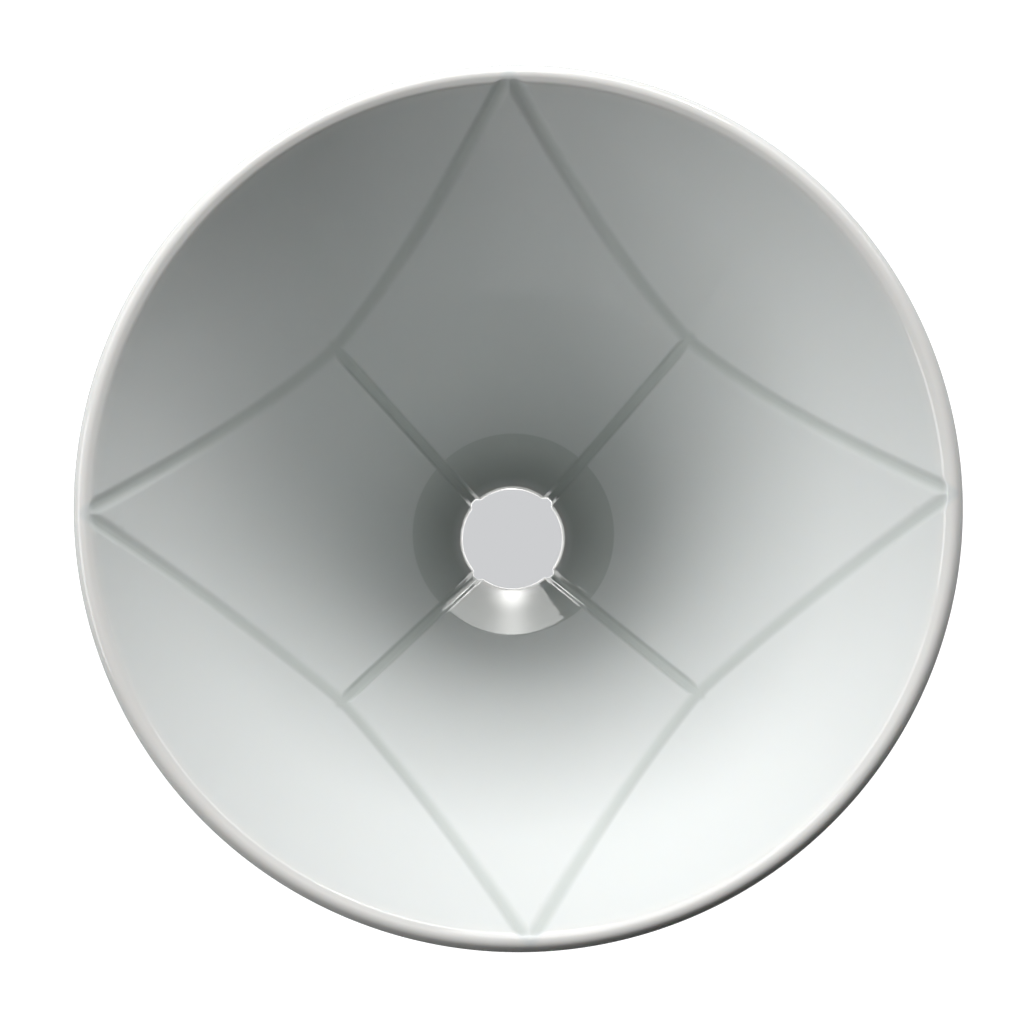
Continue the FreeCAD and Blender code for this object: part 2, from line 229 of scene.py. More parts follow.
@dataclass(frozen=True)
class BiscuitPorcelain:
    """The same porcelain where the glaze is wiped off before firing, on the rings that stand.

    The eye sees a dry, warmer white with a fine sandy grain and no reflection.
    """

    name: str = "unglazed_biscuit_porcelain"
    clay: str = "#E9E4DA"
    speck: str = "#D8D0C2"
    roughness: float = 0.78
    grain_mm: float = 0.35
    grain_height_mm: float = 0.02

    def make(self) -> bpy.types.Material:
        """Build the node material."""
        material, tree = new_material(self.name)
        place = add_node(tree, "ShaderNodeTexCoord").outputs["Object"]
        grain = add_node(tree, "ShaderNodeTexNoise", inputs={
            "Vector": place, "Scale": per_metre(self.grain_mm), "Detail": 4.0})
        tint = add_node(tree, "ShaderNodeMix", {"data_type": "RGBA"}, {
            "Factor": grain.outputs["Fac"], 6: linear(self.clay), 7: linear(self.speck)})
        sand = add_node(tree, "ShaderNodeBump", inputs={
            "Height": grain.outputs["Fac"], "Strength": 0.6,
            "Distance": self.grain_height_mm * MM})
        shader = add_node(tree, "ShaderNodeBsdfPrincipled", inputs={
            "Base Color": tint.outputs[2], "Roughness": self.roughness,
            "Normal": sand.outputs["Normal"]})
        add_node(tree, "ShaderNodeOutputMaterial", inputs={"Surface": shader.outputs["BSDF"]})
        return material


@dataclass(frozen=True)
class MouldedSilicone:
    """Food-grade silicone, compression moulded in a spark-eroded tool.

    The eye sees a soft, slightly translucent grey with a fine even matt texture.
    """

    name: str = "moulded_silicone"
    colour: str = "#B9BDBC"
    cloud: str = "#ADB1B0"
    roughness: float = 0.5
    ior: float = 1.41
    spark_mm: float = 0.25
    spark_height_mm: float = 0.008
    cloud_mm: float = 9.0
    glow_mm: float = 1.0
    glow_share: float = 0.25

    def make(self) -> bpy.types.Material:
        """Build the node material."""
        material, tree = new_material(self.name)
        place = add_node(tree, "ShaderNodeTexCoord").outputs["Object"]
        clouds = add_node(tree, "ShaderNodeTexNoise", inputs={
            "Vector": place, "Scale": per_metre(self.cloud_mm), "Detail": 2.0})
        tint = add_node(tree, "ShaderNodeMix", {"data_type": "RGBA"}, {
            "Factor": clouds.outputs["Fac"], 6: linear(self.colour), 7: linear(self.cloud)})
        spark = add_node(tree, "ShaderNodeTexNoise", inputs={
            "Vector": place, "Scale": per_metre(self.spark_mm), "Detail": 2.0})
        matt = add_node(tree, "ShaderNodeBump", inputs={
            "Height": spark.outputs["Fac"], "Strength": 0.7,
            "Distance": self.spark_height_mm * MM})
        shader = add_node(tree, "ShaderNodeBsdfPrincipled", inputs={
            "Base Color": tint.outputs[2],
            "Roughness": self.roughness,
            "IOR": self.ior,
            "Normal": matt.outputs["Normal"],
            "Subsurface Weight": self.glow_share,
            "Subsurface Radius": (1.0, 1.0, 1.0),
            "Subsurface Scale": self.glow_mm * MM,
        })
        add_node(tree, "ShaderNodeOutputMaterial", inputs={"Surface": shader.outputs["BSDF"]})
        return material


@dataclass(frozen=True)
class StudioPaper:
    """Matt seamless paper under and around the object.

    The eye sees an even white with no shine. colour is what it reflects, glow_colour and glow
    how it shines where a light behind it evens it out. A grey glow is painted shade, as on the
    sheet under the outlet.
    """

    name: str
    colour: str = "#FFFFFF"
    glow_colour: str = "#FFFFFF"
    glow: float = 0.0

    def make(self) -> bpy.types.Material:
        """Build the node material: matt paper that also glows by itself."""
        material, tree = new_material(self.name)
        shader = add_node(tree, "ShaderNodeBsdfPrincipled", inputs={
            "Base Color": linear(self.colour), "Roughness": 1.0, "Specular IOR Level": 0.0,
            "Emission Color": linear(self.glow_colour), "Emission Strength": self.glow})
        add_node(tree, "ShaderNodeOutputMaterial", inputs={"Surface": shader.outputs["BSDF"]})
        return material


@dataclass(frozen=True)
class GlowCard:
    """Black card whose painted glow is stored on its points; only gloss shows it.

    The eye never sees it; the glaze around the outlet mirrors it as a painted reflection.
    """

    name: str
    colour: str

    def make(self) -> bpy.types.Material:
        """Build the node material."""
        material, tree = new_material(self.name)
        glow = add_node(tree, "ShaderNodeAttribute", {"attribute_name": GLOW_ATTRIBUTE})
        shader = add_node(tree, "ShaderNodeEmission", inputs={
            "Color": linear(self.colour), "Strength": glow.outputs["Fac"]})
        add_node(tree, "ShaderNodeOutputMaterial", inputs={"Surface": shader.outputs["Emission"]})
        return material


# ---------------------------------------------------------------------------------------------
# Turning
# ---------------------------------------------------------------------------------------------

@dataclass(frozen=True)
class Corner:
    """A corner of a turned outline, in millimetres.

    rounding is the radius of its rounding, and rows is how many more rows of points the
    straight stretch that follows it gets.
    """

    radius: float
    height: float
    rounding: float = 0.0
    rows: int = 0


@dataclass(frozen=True)
class Lathe:
    """Turns outlines about the dripper's axis into closed meshes.

    A part of a turn is spun, copied and turned on until the round is full, which is much
    quicker than one full spin of a fine mesh.
    """

    steps: int
    round_segments: int = 7
    doublings: int = 3
    merge_mm: float = 0.0005
    fit: float = 0.999

    def turn(self, corners: list[Corner], closed: bool = True) -> bmesh.types.BMesh:
        """Round an outline's corners and spin it.

        Args:
            corners: the outline, counter-clockwise as seen with the axis on the left.
            closed: False where the outline starts and ends on the axis.

        Returns:
            The turned mesh, with its normals outwards.
        """
        shape = bmesh.new()
        points = [shape.verts.new((c.radius * MM, 0.0, c.height * MM)) for c in corners]
        for start, end in zip(points, points[1:]):
            shape.edges.new((start, end))
        if closed:
            shape.edges.new((points[-1], points[0]))
        reach = [self.round_corner(shape, corner, point) for corner, point in zip(corners, points)]
        self.add_rows(shape, corners, reach)
        angle = 2 * math.pi / 2 ** self.doublings
        bmesh.ops.spin(shape, geom=shape.verts[:] + shape.edges[:], cent=(0, 0, 0),
                       axis=(0, 0, 1), dvec=(0, 0, 0), angle=angle,
                       steps=self.steps // 2 ** self.doublings, use_duplicate=False)
        for doubling in range(self.doublings):
            copy = bmesh.ops.duplicate(shape, geom=shape.verts[:] + shape.edges[:] + shape.faces[:])
            bmesh.ops.rotate(shape, cent=(0, 0, 0),
                             matrix=Matrix.Rotation(angle * 2 ** doubling, 3, "Z"),
                             verts=[item for item in copy["geom"]
                                    if isinstance(item, bmesh.types.BMVert)])
        bmesh.ops.remove_doubles(shape, verts=shape.verts[:], dist=self.merge_mm * MM)
        bmesh.ops.recalc_face_normals(shape, faces=shape.faces[:])
        return shape

    def round_corner(self, shape: bmesh.types.BMesh, corner: Corner,
                     point: bmesh.types.BMVert) -> float:
        """Round one corner of the outline.

        Args:
            shape: the outline.
            corner: the corner's place and rounding.
            point: the corner's vertex.

        Returns:
            How far along its two stretches the rounding reaches, in metres.
        """
        if not corner.rounding:
            return 0.0
        ways = [(edge.other_vert(point).co - point.co) for edge in point.link_edges]
        turned = math.pi - ways[0].angle(ways[1])
        reach = corner.rounding * MM * math.tan(turned / 2) * self.fit
        bmesh.ops.bevel(shape, geom=[point], offset=reach, offset_type="OFFSET",
                        segments=self.round_segments, profile=0.5, affect="VERTICES", material=-1)
        return reach

    def add_rows(self, shape: bmesh.types.BMesh, corners: list[Corner],
                 reach: list[float]) -> None:
        """Divide the straight stretches that ask for more rows.

        Args:
            shape: the rounded outline.
            corners: its corners.
            reach: how far each corner's rounding goes into its stretches, in metres.
        """
        for index, corner in enumerate(corners):
            if not corner.rows:
                continue
            after = (index + 1) % len(corners)
            start = Vector((corner.radius, 0.0, corner.height)) * MM
            end = Vector((corners[after].radius, 0.0, corners[after].height)) * MM
            way = (end - start).normalized()
            middle = (start + way * reach[index] + end - way * reach[after]) / 2
            stretch = min(shape.edges, key=lambda edge: (
                (edge.verts[0].co + edge.verts[1].co) / 2 - middle).length)
            bmesh.ops.subdivide_edges(shape, edges=[stretch], cuts=corner.rows)


def finish_piece(shape: bmesh.types.BMesh, name: str, materials: list[bpy.types.Material],
                 body: Body, nodes: list[str]) -> bpy.types.Object:
    """Turn a finished mesh into a piece that rides on a body and stands for CAD nodes.

    Args:
        shape: the mesh; it is freed.
        name: the piece's name.
        materials: its material slots, in order.
        body: the body it rides on.
        nodes: the CAD nodes it stands for.

    Returns:
        The new object.
    """
    for face in shape.faces:
        face.smooth = True
    for edge in shape.edges:
        edge.smooth = edge.calc_face_angle(0.0) < SHARP_EDGE
    mesh = bpy.data.meshes.new(name)
    shape.to_mesh(mesh)
    shape.free()
    piece = bpy.data.objects.new(name, mesh)
    bpy.context.scene.collection.objects.link(piece)
    for material in materials:
        mesh.materials.append(material)
    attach(piece, body.value)
    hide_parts(*nodes)
    return piece


def paint_glaze_and_light(mesh: bpy.types.Mesh, values: list[float] | np.ndarray) -> None:
    """Store the glaze attribute on each point of a mesh: how thick the glaze lies, and painted
    light.
    """
    mesh.attributes.new(GLAZE_AND_LIGHT_ATTRIBUTE, "FLOAT", "POINT").data.foreach_set("value", values)


# ---------------------------------------------------------------------------------------------
# Cone
# ---------------------------------------------------------------------------------------------

@dataclass(frozen=True)
class ChannelStar:
    """The star of channels inside the cone, seen from above, in millimetres.

    Four straight arms run from the outlet to four junctions on the diagonals, and from each
    junction two bowed channels run to the two nearest points, which lie at the lip on the axes.
    The star is the same in each eighth of a turn, so a place is folded into one eighth first.
    """

    junction_radius: float
    point_radius: float
    point_spread: float = 0.8
    bow: float = 0.4
    depth: float = 0.62
    arm_depth: float = 1.1
    arm_floor: float = 0.35
    floor: float = 0.1
    arm_edge: float = 1.15
    petal_edge: float = 0.9
    kite_edge: float = 1.35
    lip_widening: float = 0.2
    pool_radius: float = 1.5
    pool_share: float = 0.5
    deepen_from: float = 0.8
    deepen_until: float = 3.0

    def place(self, x: Numbers, y: Numbers) -> tuple[Numbers, Numbers, Numbers]:
        """Measure places against the channels.

        Args:
            x: across.
            y: across.

        Returns:
            Distance from the nearest arm, distance from the nearest bowed channel (negative on
            its outer side, which is a petal), and distance from the junction.
        """
        near, far = np.minimum(abs(x), abs(y)), np.maximum(abs(x), abs(y))
        beyond = np.maximum(0.0, (near + far) / math.sqrt(2) - self.junction_radius)
        arm = np.hypot((far - near) / math.sqrt(2), beyond)
        node = self.junction_radius / math.sqrt(2)
        junction = np.hypot(near - node, far - node)
        tip = self.point_spread / 2
        chord_x, chord_y = node - tip, node - self.point_radius
        chord = math.hypot(chord_x, chord_y)
        bend = chord ** 2 / (8 * self.bow) + self.bow / 2
        centre_x = (node + tip) / 2 - chord_y / chord * (bend - self.bow)
        centre_y = (node + self.point_radius) / 2 + chord_x / chord * (bend - self.bow)
        side = np.hypot(near - centre_x, far - centre_y) - bend
        before = (node - near) * chord_x + (node - far) * chord_y < 0.0
        return arm, np.where(before, np.copysign(junction, side), side), junction

    def near(self, x: Numbers, y: Numbers, margin: float) -> Numbers:
        """Tell whether places are within a margin of a channel's middle."""
        arm, side, _ = self.place(x, y)
        return np.minimum(arm, abs(side)) < margin

    def share(self, x: Numbers, y: Numbers) -> Numbers:
        """Return how deep the channels are at some places, as a share of their full depth."""
        arm, side, junction = self.place(x, y)
        widen = 1.0 + self.lip_widening * smoothstep(
            self.junction_radius, self.point_radius, np.hypot(x, y))
        edge = np.where(side < 0.0, self.petal_edge, self.kite_edge)
        bare = 1.0 - smoothstep(self.arm_floor, self.arm_edge, arm)
        bowed = 1.0 - smoothstep(self.floor * widen, edge * widen, abs(side))
        pool = self.pool_share * (1.0 - smoothstep(0.0, self.pool_radius, junction))
        bare *= 1.0 + (self.arm_depth / self.depth - 1.0) * smoothstep(
            self.deepen_from, self.deepen_until, abs(side))
        return np.maximum(bare, 1.0 - (1.0 - bowed) * (1.0 - pool))


@dataclass
class PorcelainCone:
    """The cone: rounded lip, wall with its star of channels, outlet, collar and neck."""

    wall: float = 3.0
    half_angle: float = 30.0
    outlet_radius: float = 8.0
    outlet_drop: float = 5.5
    outlet_land: float = 1.2
    outlet_round: float = 1.0
    outlet_flare: float = 3.4
    lip_shoulder: float = 0.55
    lip_crown: float = 0.75
    shoulder_round: float = 0.9
    crown_round: float = 1.2
    neck_length: float = 8.0
    neck_wall: float = 3.5
    neck_end_width: float = 2.5
    neck_round: float = 0.6
    collar_radius: float = 24.0
    collar_height: float = 5.0
    collar_round: float = 1.4
    collar_blend: float = 2.4
    junction_radius: float = 35.8
    point_inset: float = 1.8
    steps: int = 360
    # The next two sizes set where the painted dark ring round the outlet ends, and how crisply; the
    # ring is a painted reflection of the dark below the outlet.
    pool_radius: float = 15.55
    dark_ring_edge: float = 0.2
    wall_rows: int = 48
    refine_margin: float = 1.8
    refine_cuts: int = 3
    refine_from: float = 17.0
    sideways_until: float = 12.0
    upright_from: float = 18.0
    lip_softness: float = 0.1
    snap: float = 0.02
    slope_step: float = 0.02
    bare_ring_height: float = 0.25
    normals_from: float = 9.6
    crown_thins: tuple[float, float] = (-0.5, 1.0)
    # How wide the outlet's rim is painted lighter as glow, where the glaze also thins.
    rim_thins_and_glows: float = 1.3
    # Where the painted dark ring round the outlet starts, from the outlet's edge.
    dark_ring_starts: tuple[float, float] = (0.6, 2.0)
    star: ChannelStar = field(init=False)

    def __post_init__(self) -> None:
        """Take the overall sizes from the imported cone."""
        low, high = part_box("cone_body")
        self.lip_radius = high.x / MM
        self.neck_end = low.z / MM
        self.seat = self.neck_end + self.neck_length
        self.outlet_height = self.seat - self.outlet_drop
        self.slope = math.tan(math.radians(self.half_angle))
        self.wall_level = self.wall / math.cos(math.radians(self.half_angle))
        self.neck_radius = self.inner_radius(self.seat) + self.neck_wall
        self.star = ChannelStar(self.junction_radius, self.lip_radius - self.point_inset)

    def inner_radius(self, height: float) -> float:
        """Return the inner wall's radius at a height."""
        return self.outlet_radius + (height - self.outlet_height) * self.slope

    def inner_height(self, radius: float) -> float:
        """Return the inner wall's height at a radius."""
        return self.outlet_height + (radius - self.outlet_radius) / self.slope

    def outline(self) -> list[Corner]:
        """Return the cone's outline, whose lip is rounded over a shoulder and a crown."""
        angle = math.radians(self.half_angle)
        lip_round = self.wall / 2
        inner_tangent = self.lip_radius - lip_round * (1 + math.cos(angle))
        inner_top = inner_tangent + lip_round * math.sin(angle)
        inner_top_height = self.inner_height(inner_top)
        shoulder = inner_top - self.lip_shoulder
        crown = inner_top + self.lip_crown
        collar_top = self.seat + self.collar_height
        drip_radius = self.neck_radius - self.neck_end_width
        return [
            Corner(self.outlet_radius, self.outlet_height, self.outlet_flare, 10),
            # The next two corners only add rows of points, where the painted dark ring ends.
            Corner(self.pool_radius, self.inner_height(self.pool_radius)),
            Corner(self.pool_radius + self.dark_ring_edge,
                   self.inner_height(self.pool_radius + self.dark_ring_edge), 0.0, self.wall_rows),
            Corner(shoulder, self.inner_height(shoulder), self.shoulder_round),
            Corner(crown, inner_top_height - self.lip_crown * self.slope, self.crown_round),
            Corner(inner_top + self.wall * math.cos(angle),
                   inner_top_height - self.wall * math.sin(angle), lip_round, 12),
            Corner(self.inner_radius(collar_top) + self.wall_level, collar_top, self.collar_blend),
            Corner(self.collar_radius, collar_top, self.collar_round),
            Corner(self.collar_radius, self.seat, self.collar_round, 2),
            Corner(self.neck_radius, self.seat, 0.0, 3),
            Corner(self.neck_radius, self.neck_end, self.neck_round),
            Corner(drip_radius, self.neck_end, self.neck_round, 3),
            Corner(self.outlet_radius, self.outlet_height - self.outlet_land, self.outlet_round, 2),
        ]

    def on_inside(self, radius: Numbers, height: Numbers) -> Numbers:
        """Tell whether places are on the inner wall, the lip's inner half or the outlet."""
        wall = (height > self.outlet_height) & (
            radius - self.inner_radius(height) < self.wall_level / 2)
        outlet = (height <= self.outlet_height) & (
            radius < self.outlet_radius + self.outlet_land)
        return wall | outlet

    def refine(self, shape: bmesh.types.BMesh) -> None:
        """Divide the wall's faces along the channels, away from the already fine outlet."""
        edges = shape.edges[:]
        x, y, z = np.array([edge.verts[0].co + edge.verts[1].co for edge in edges]).T / (2 * MM)
        radius = np.hypot(x, y)
        chosen = (radius > self.refine_from) & self.on_inside(radius, z)
        chosen &= self.star.near(x, y, self.refine_margin)
        bmesh.ops.subdivide_edges(shape, edges=[edges[index] for index in np.flatnonzero(chosen)],
                                  cuts=self.refine_cuts, use_grid_fill=True)

    def cut_down(self, radius: Numbers, height: Numbers, share: Numbers) -> Numbers:
        """Return how far the inside drops for a channel, easing out over the lip.

        Args:
            radius: distance from the axis.
            height: height before the drop.
            share: the channel's share of its full depth.

        Returns:
            The drop.
        """
        drop = np.maximum(0.0, height - self.inner_height(radius) + self.star.depth * share)
        return np.hypot(drop, self.lip_softness) - self.lip_softness

    def carve(self, mesh: bpy.types.Mesh) -> None:
        """Press the star into the inner wall, and give mesh its glaze with painted light, and true
        normals.

        A channel leaves the wall straight up, as the mould does, and reaches sideways through
        the upright outlet. The wall gets the exact slope of its carved surface, so that gloss
        runs true on it.

        Args:
            mesh: the turned cone.
        """
        points = np.empty(len(mesh.vertices) * 3)
        mesh.vertices.foreach_get("co", points)
        points = points.reshape(-1, 3) / MM
        inside = self.on_inside(np.hypot(*points.T[:2]), points.T[2])
        x, y, z = points[inside].T
        radius = np.hypot(x, y)
        straight = (z > self.outlet_height) & (
            abs(radius - self.inner_radius(z)) < self.snap)
        true_radius = np.where(straight, self.inner_radius(z), radius)
        share = self.star.share(x, y)
        upright = smoothstep(self.sideways_until, self.upright_from, true_radius)
        floor = np.maximum(self.outlet_radius, self.inner_radius(z)) + (
            self.star.depth * self.slope * share)
        out = np.maximum(0.0, floor - true_radius) * (1.0 - upright)
        down = self.cut_down(true_radius, z, share) * upright
        scale = (true_radius + out) / radius
        points[inside] = np.stack([x * scale, y * scale, z - down], axis=-1)
        mesh.vertices.foreach_set("co", (points * MM).ravel())
        mesh.update()
        shares = np.zeros(len(points))
        shares[inside] = share
        paint_glaze_and_light(mesh, self.glaze_at(points, shares))
        self.true_normals(mesh, points, inside)

    def wall_height(self, x: Numbers, y: Numbers) -> Numbers:
        """Return the carved wall's height at places seen from above."""
        radius = np.hypot(x, y)
        plain = self.inner_height(radius)
        return plain - self.cut_down(radius, plain, self.star.share(x, y))

    def true_normals(self, mesh: bpy.types.Mesh, points: np.ndarray, inside: np.ndarray) -> None:
        """Set the normals of the carved wall from its exact slope.

        Args:
            mesh: the carved cone.
            points: its points, in millimetres.
            inside: which of them are inside the cone.
        """
        normals = np.empty(len(mesh.vertices) * 3)
        mesh.vertices.foreach_get("normal", normals)
        normals = normals.reshape(-1, 3)
        radius = np.hypot(*points.T[:2])
        wall = inside & (radius > self.normals_from) & (
            radius < self.inner_radius(self.lip_start()))
        x, y, _ = points[wall].T
        step = self.slope_step
        rise_x = self.wall_height(x + step, y) - self.wall_height(x - step, y)
        rise_y = self.wall_height(x, y + step) - self.wall_height(x, y - step)
        slopes = np.stack([-rise_x, -rise_y, np.full(len(x), 2 * step)], axis=-1)
        normals[wall] = slopes / np.linalg.norm(slopes, axis=-1, keepdims=True)
        mesh.normals_split_custom_set_from_vertices(normals)

    def lip_start(self) -> float:
        """Return the height where the straight inner wall ends and the lip's rounding starts."""
        angle = math.radians(self.half_angle)
        return self.inner_height(self.lip_radius - self.wall / 2 * (1 + math.cos(angle)))

    def glaze_at(self, points: np.ndarray, share: np.ndarray) -> np.ndarray:
        """Return the glaze attribute: pooled in channels, painted darker there as shade, a painted
        dark reflection low down round the outlet in the pooled colour, and thin over the edges,
        painted lighter as glow at the outlet's rim.

        Args:
            points: the cone's points, in millimetres.
            share: the channels' share of their full depth at each point.

        Returns:
            Values of the glaze attribute, painted light included.
        """
        crown = smoothstep(*(self.lip_start() + rise for rise in self.crown_thins), points.T[2])
        radius = np.hypot(*points.T[:2])
        # Painted glow: the outlet's rim takes the thin colour, for light shining through the thin
        # edge.
        rim = 1.0 - smoothstep(self.outlet_radius, self.outlet_radius + self.rim_thins_and_glows, radius)
        # Painted reflection: a dark ring round the outlet, in the pooled colour, for the dark that
        # the glaze mirrors below the outlet.
        painted_dark_ring = self.on_inside(radius, points.T[2]) * smoothstep(
            *(self.outlet_radius + width for width in self.dark_ring_starts), radius) * (
            1.0 - smoothstep(self.pool_radius, self.pool_radius + self.dark_ring_edge, radius))
        # Painted shade: the channels take the pooled colour, darker than pooled glaze alone.
        share = np.maximum(share, painted_dark_ring)
        even = GlazeAndPaintedLight.EVEN.value
        return even + (GlazeAndPaintedLight.POOLED_AND_SHADED.value - even) * share - even * np.maximum(crown, rim)

    def build(self, glaze: bpy.types.Material, biscuit: bpy.types.Material) -> bpy.types.Object:
        """Build and dress the cone.

        Args:
            glaze: finish of the whole cone.
            biscuit: finish of the neck's bare end.

        Returns:
            The cone.
        """
        shape = Lathe(self.steps).turn(self.outline())
        self.refine(shape)
        for face in shape.faces:
            highest = max(vert.co.z for vert in face.verts) / MM
            face.material_index = int(highest < self.neck_end + self.bare_ring_height)
        piece = finish_piece(shape, "glazed_cone", [glaze, biscuit], Body.CONE, ["cone_body"])
        self.carve(piece.data)
        return piece


# ---------------------------------------------------------------------------------------------
# Base, gasket and pads
# ---------------------------------------------------------------------------------------------

@dataclass
class PorcelainBase:
    """The base: plate, raised hub with the bore, and the foot ring with its two windows."""

    bore_radius: float = 16.475
    seat_radius: float = 22.3
    seat_drop: float = 0.8
    hub_radius: float = 26.5
    hub_rise: float = 1.8
    hub_round: float = 0.8
    plate_thickness: float = 4.2
    plate_edge: float = 3.6
    plate_round: float = 1.5
    foot_radius: float = 33.0
    foot_wall: float = 3.5
    foot_round: float = 1.0
    bore_round: float = 0.4
    window_width: float = 22.0
    window_height: float = 5.5
    window_rise: float = 2.0
    jamb_softness: float = 0.8
    recess_radius: float = 5.65
    recess_depth: float = 0.7
    pad_place_radius: float = 40.5
    pad_count: int = 3
    steps: int = 720
    bare_height: float = 0.4
    foot_margin: float = 0.5
    edge_thins: float = 1.2
    hub_thins: float = 1.0
    hub_pools: float = 1.4

    def __post_init__(self) -> None:
        """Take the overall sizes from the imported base."""
        _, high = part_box("base_plate")
        self.plate_radius = high.x / MM
        self.hub_top = high.z / MM
        self.plate_top = self.hub_top - self.hub_rise
        self.underside = self.plate_top - self.plate_thickness

    def outline(self) -> list[Corner]:
        """Return the base's outline."""
        seat = self.hub_top - self.seat_drop
        foot_inside = self.foot_radius - self.foot_wall
        return [
            Corner(self.bore_radius, self.underside, self.bore_round, 2),
            Corner(self.bore_radius, seat, self.bore_round, 1),
            Corner(self.seat_radius, seat),
            Corner(self.seat_radius, self.hub_top, self.bore_round / 2, 1),
            Corner(self.hub_radius, self.hub_top, self.hub_round),
            Corner(self.hub_radius, self.plate_top, self.hub_round, 6),
            Corner(self.plate_radius, self.underside + self.plate_edge, self.plate_round),
            Corner(self.plate_radius, self.underside, self.plate_round, 6),
            Corner(self.foot_radius, self.underside, self.foot_round, 5),
            Corner(self.foot_radius, 0.0, self.foot_round, 1),
            Corner(foot_inside, 0.0, self.foot_round, 5),
            Corner(foot_inside, self.underside, self.foot_round, 3),
        ]

    def window_at(self, x: float) -> float:
        """Return how high the foot's lower edge is lifted at a place across a window."""
        arch = self.window_width ** 2 / (8 * self.window_rise) + self.window_rise / 2
        across = min(abs(x), arch)
        crown = self.window_height - arch + math.sqrt(arch ** 2 - across ** 2)
        half = self.window_width / 2
        return max(0.0, crown) * (1.0 - smoothstep(half - self.jamb_softness,
                                                   half + self.jamb_softness, across))

    def lift_windows(self, shape: bmesh.types.BMesh) -> None:
        """Draw the foot ring up into two soft arches, and leave its standing edge bare of glaze."""
        for face in shape.faces:
            points = [vert.co / MM for vert in face.verts]
            low = max(point.z for point in points) < self.bare_height
            standing = max(self.window_at(point.x) for point in points) < self.bare_height / 2
            face.material_index = int(low and standing)
        for vert in shape.verts:
            point = vert.co / MM
            radius = math.hypot(point.x, point.y)
            if point.z < self.underside and radius < self.foot_radius + self.foot_margin:
                lift = self.window_at(point.x)
                vert.co.z = (lift + point.z * (1.0 - lift / self.underside)) * MM

    def sink_recesses(self, piece: bpy.types.Object) -> None:
        """Cut a round recess for each pad into the plate's underside."""
        cutter = bmesh.new()
        for number in range(self.pad_count):
            turn = Matrix.Rotation(2 * math.pi * number / self.pad_count, 4, "Z")
            place = Matrix.Translation(Vector((self.pad_place_radius, 0.0, self.underside)) * MM)
            bmesh.ops.create_cone(cutter, cap_ends=True, segments=72,
                                  radius1=self.recess_radius * MM, radius2=self.recess_radius * MM,
                                  depth=2 * self.recess_depth * MM, matrix=turn @ place)
        mesh = bpy.data.meshes.new("recess_cutter")
        cutter.to_mesh(mesh)
        cutter.free()
        tool = bpy.data.objects.new("recess_cutter", mesh)
        bpy.context.scene.collection.objects.link(tool)
        cut = piece.modifiers.new("recesses", "BOOLEAN")
        cut.operation = "DIFFERENCE"
        cut.solver = "EXACT"
        cut.object = tool
        graph = bpy.context.evaluated_depsgraph_get()
        carved = bpy.data.meshes.new_from_object(piece.evaluated_get(graph))
        piece.modifiers.remove(cut)
        bpy.data.objects.remove(tool)
        piece.data = carved
        carved.name = piece.name

    def build(self, glaze: bpy.types.Material, biscuit: bpy.types.Material) -> bpy.types.Object:
        """Build and dress the base.

        Args:
            glaze: finish of the whole base.
            biscuit: finish of the foot's standing edge.

        Returns:
            The base.
        """
        shape = Lathe(self.steps, round_segments=5).turn(self.outline())
        self.lift_windows(shape)
        piece = finish_piece(shape, "glazed_base", [glaze, biscuit], Body.BASE, ["base_plate"])
        paint_glaze_and_light(piece.data, [self.glaze_at(vert.co / MM) for vert in piece.data.vertices])
        self.sink_recesses(piece)
        return piece

    def glaze_at(self, point: Vector) -> float:
        """Return the glaze attribute at a point: thin over the plate's edge and the hub's, and
        pooled at the hub's foot, painted darker there as shade.
        """
        radius = math.hypot(point.x, point.y)
        edge = smoothstep(self.plate_radius - self.edge_thins, self.plate_radius, radius)
        hub = 1.0 - smoothstep(0.0, self.hub_thins, math.hypot(
            radius - self.hub_radius, point.z - self.hub_top))
        # Painted shade: the hub's foot takes the pooled colour, darker than pooled glaze alone.
        pooled = 1.0 - smoothstep(0.0, self.hub_pools, math.hypot(
            radius - self.hub_radius, point.z - self.plate_top))
        even = GlazeAndPaintedLight.EVEN.value
        return even * (1.0 - max(edge, hub)) + even * pooled


@dataclass
class SeatGasket:
    """The silicone grommet: a flange under the cone's collar and a sleeve around its neck."""

    sleeve_inner: float = 15.025
    sleeve_outer: float = 16.225
    flange: float = 1.8
    round_edges: float = 0.4
    bead: float = 0.25
    bead_width: float = 1.2
    steps: int = 256

    def outline(self) -> list[Corner]:
        """Return the gasket's outline, with a shallow moulded groove round the flange's top."""
        low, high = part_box("seat_gasket")
        radius, bottom, top = high.x / MM, low.z / MM, high.z / MM
        groove = (self.sleeve_outer + radius) / 2
        return [
            Corner(self.sleeve_inner, bottom, self.round_edges, 2),
            Corner(self.sleeve_inner, top, self.round_edges),
            Corner(groove - self.bead_width, top, self.bead),
            Corner(groove, top - self.bead, self.bead),
            Corner(groove + self.bead_width, top, self.bead),
            Corner(radius, top, self.round_edges),
            Corner(radius, top - self.flange, self.round_edges),
            Corner(self.sleeve_outer, top - self.flange, self.bead, 2),
            Corner(self.sleeve_outer, bottom, self.round_edges),
        ]

    def build(self, silicone: bpy.types.Material) -> bpy.types.Object:
        """Build and dress the gasket."""
        shape = Lathe(self.steps, round_segments=4).turn(self.outline())
        return finish_piece(shape, "silicone_gasket", [silicone], Body.GASKET, ["seat_gasket"])


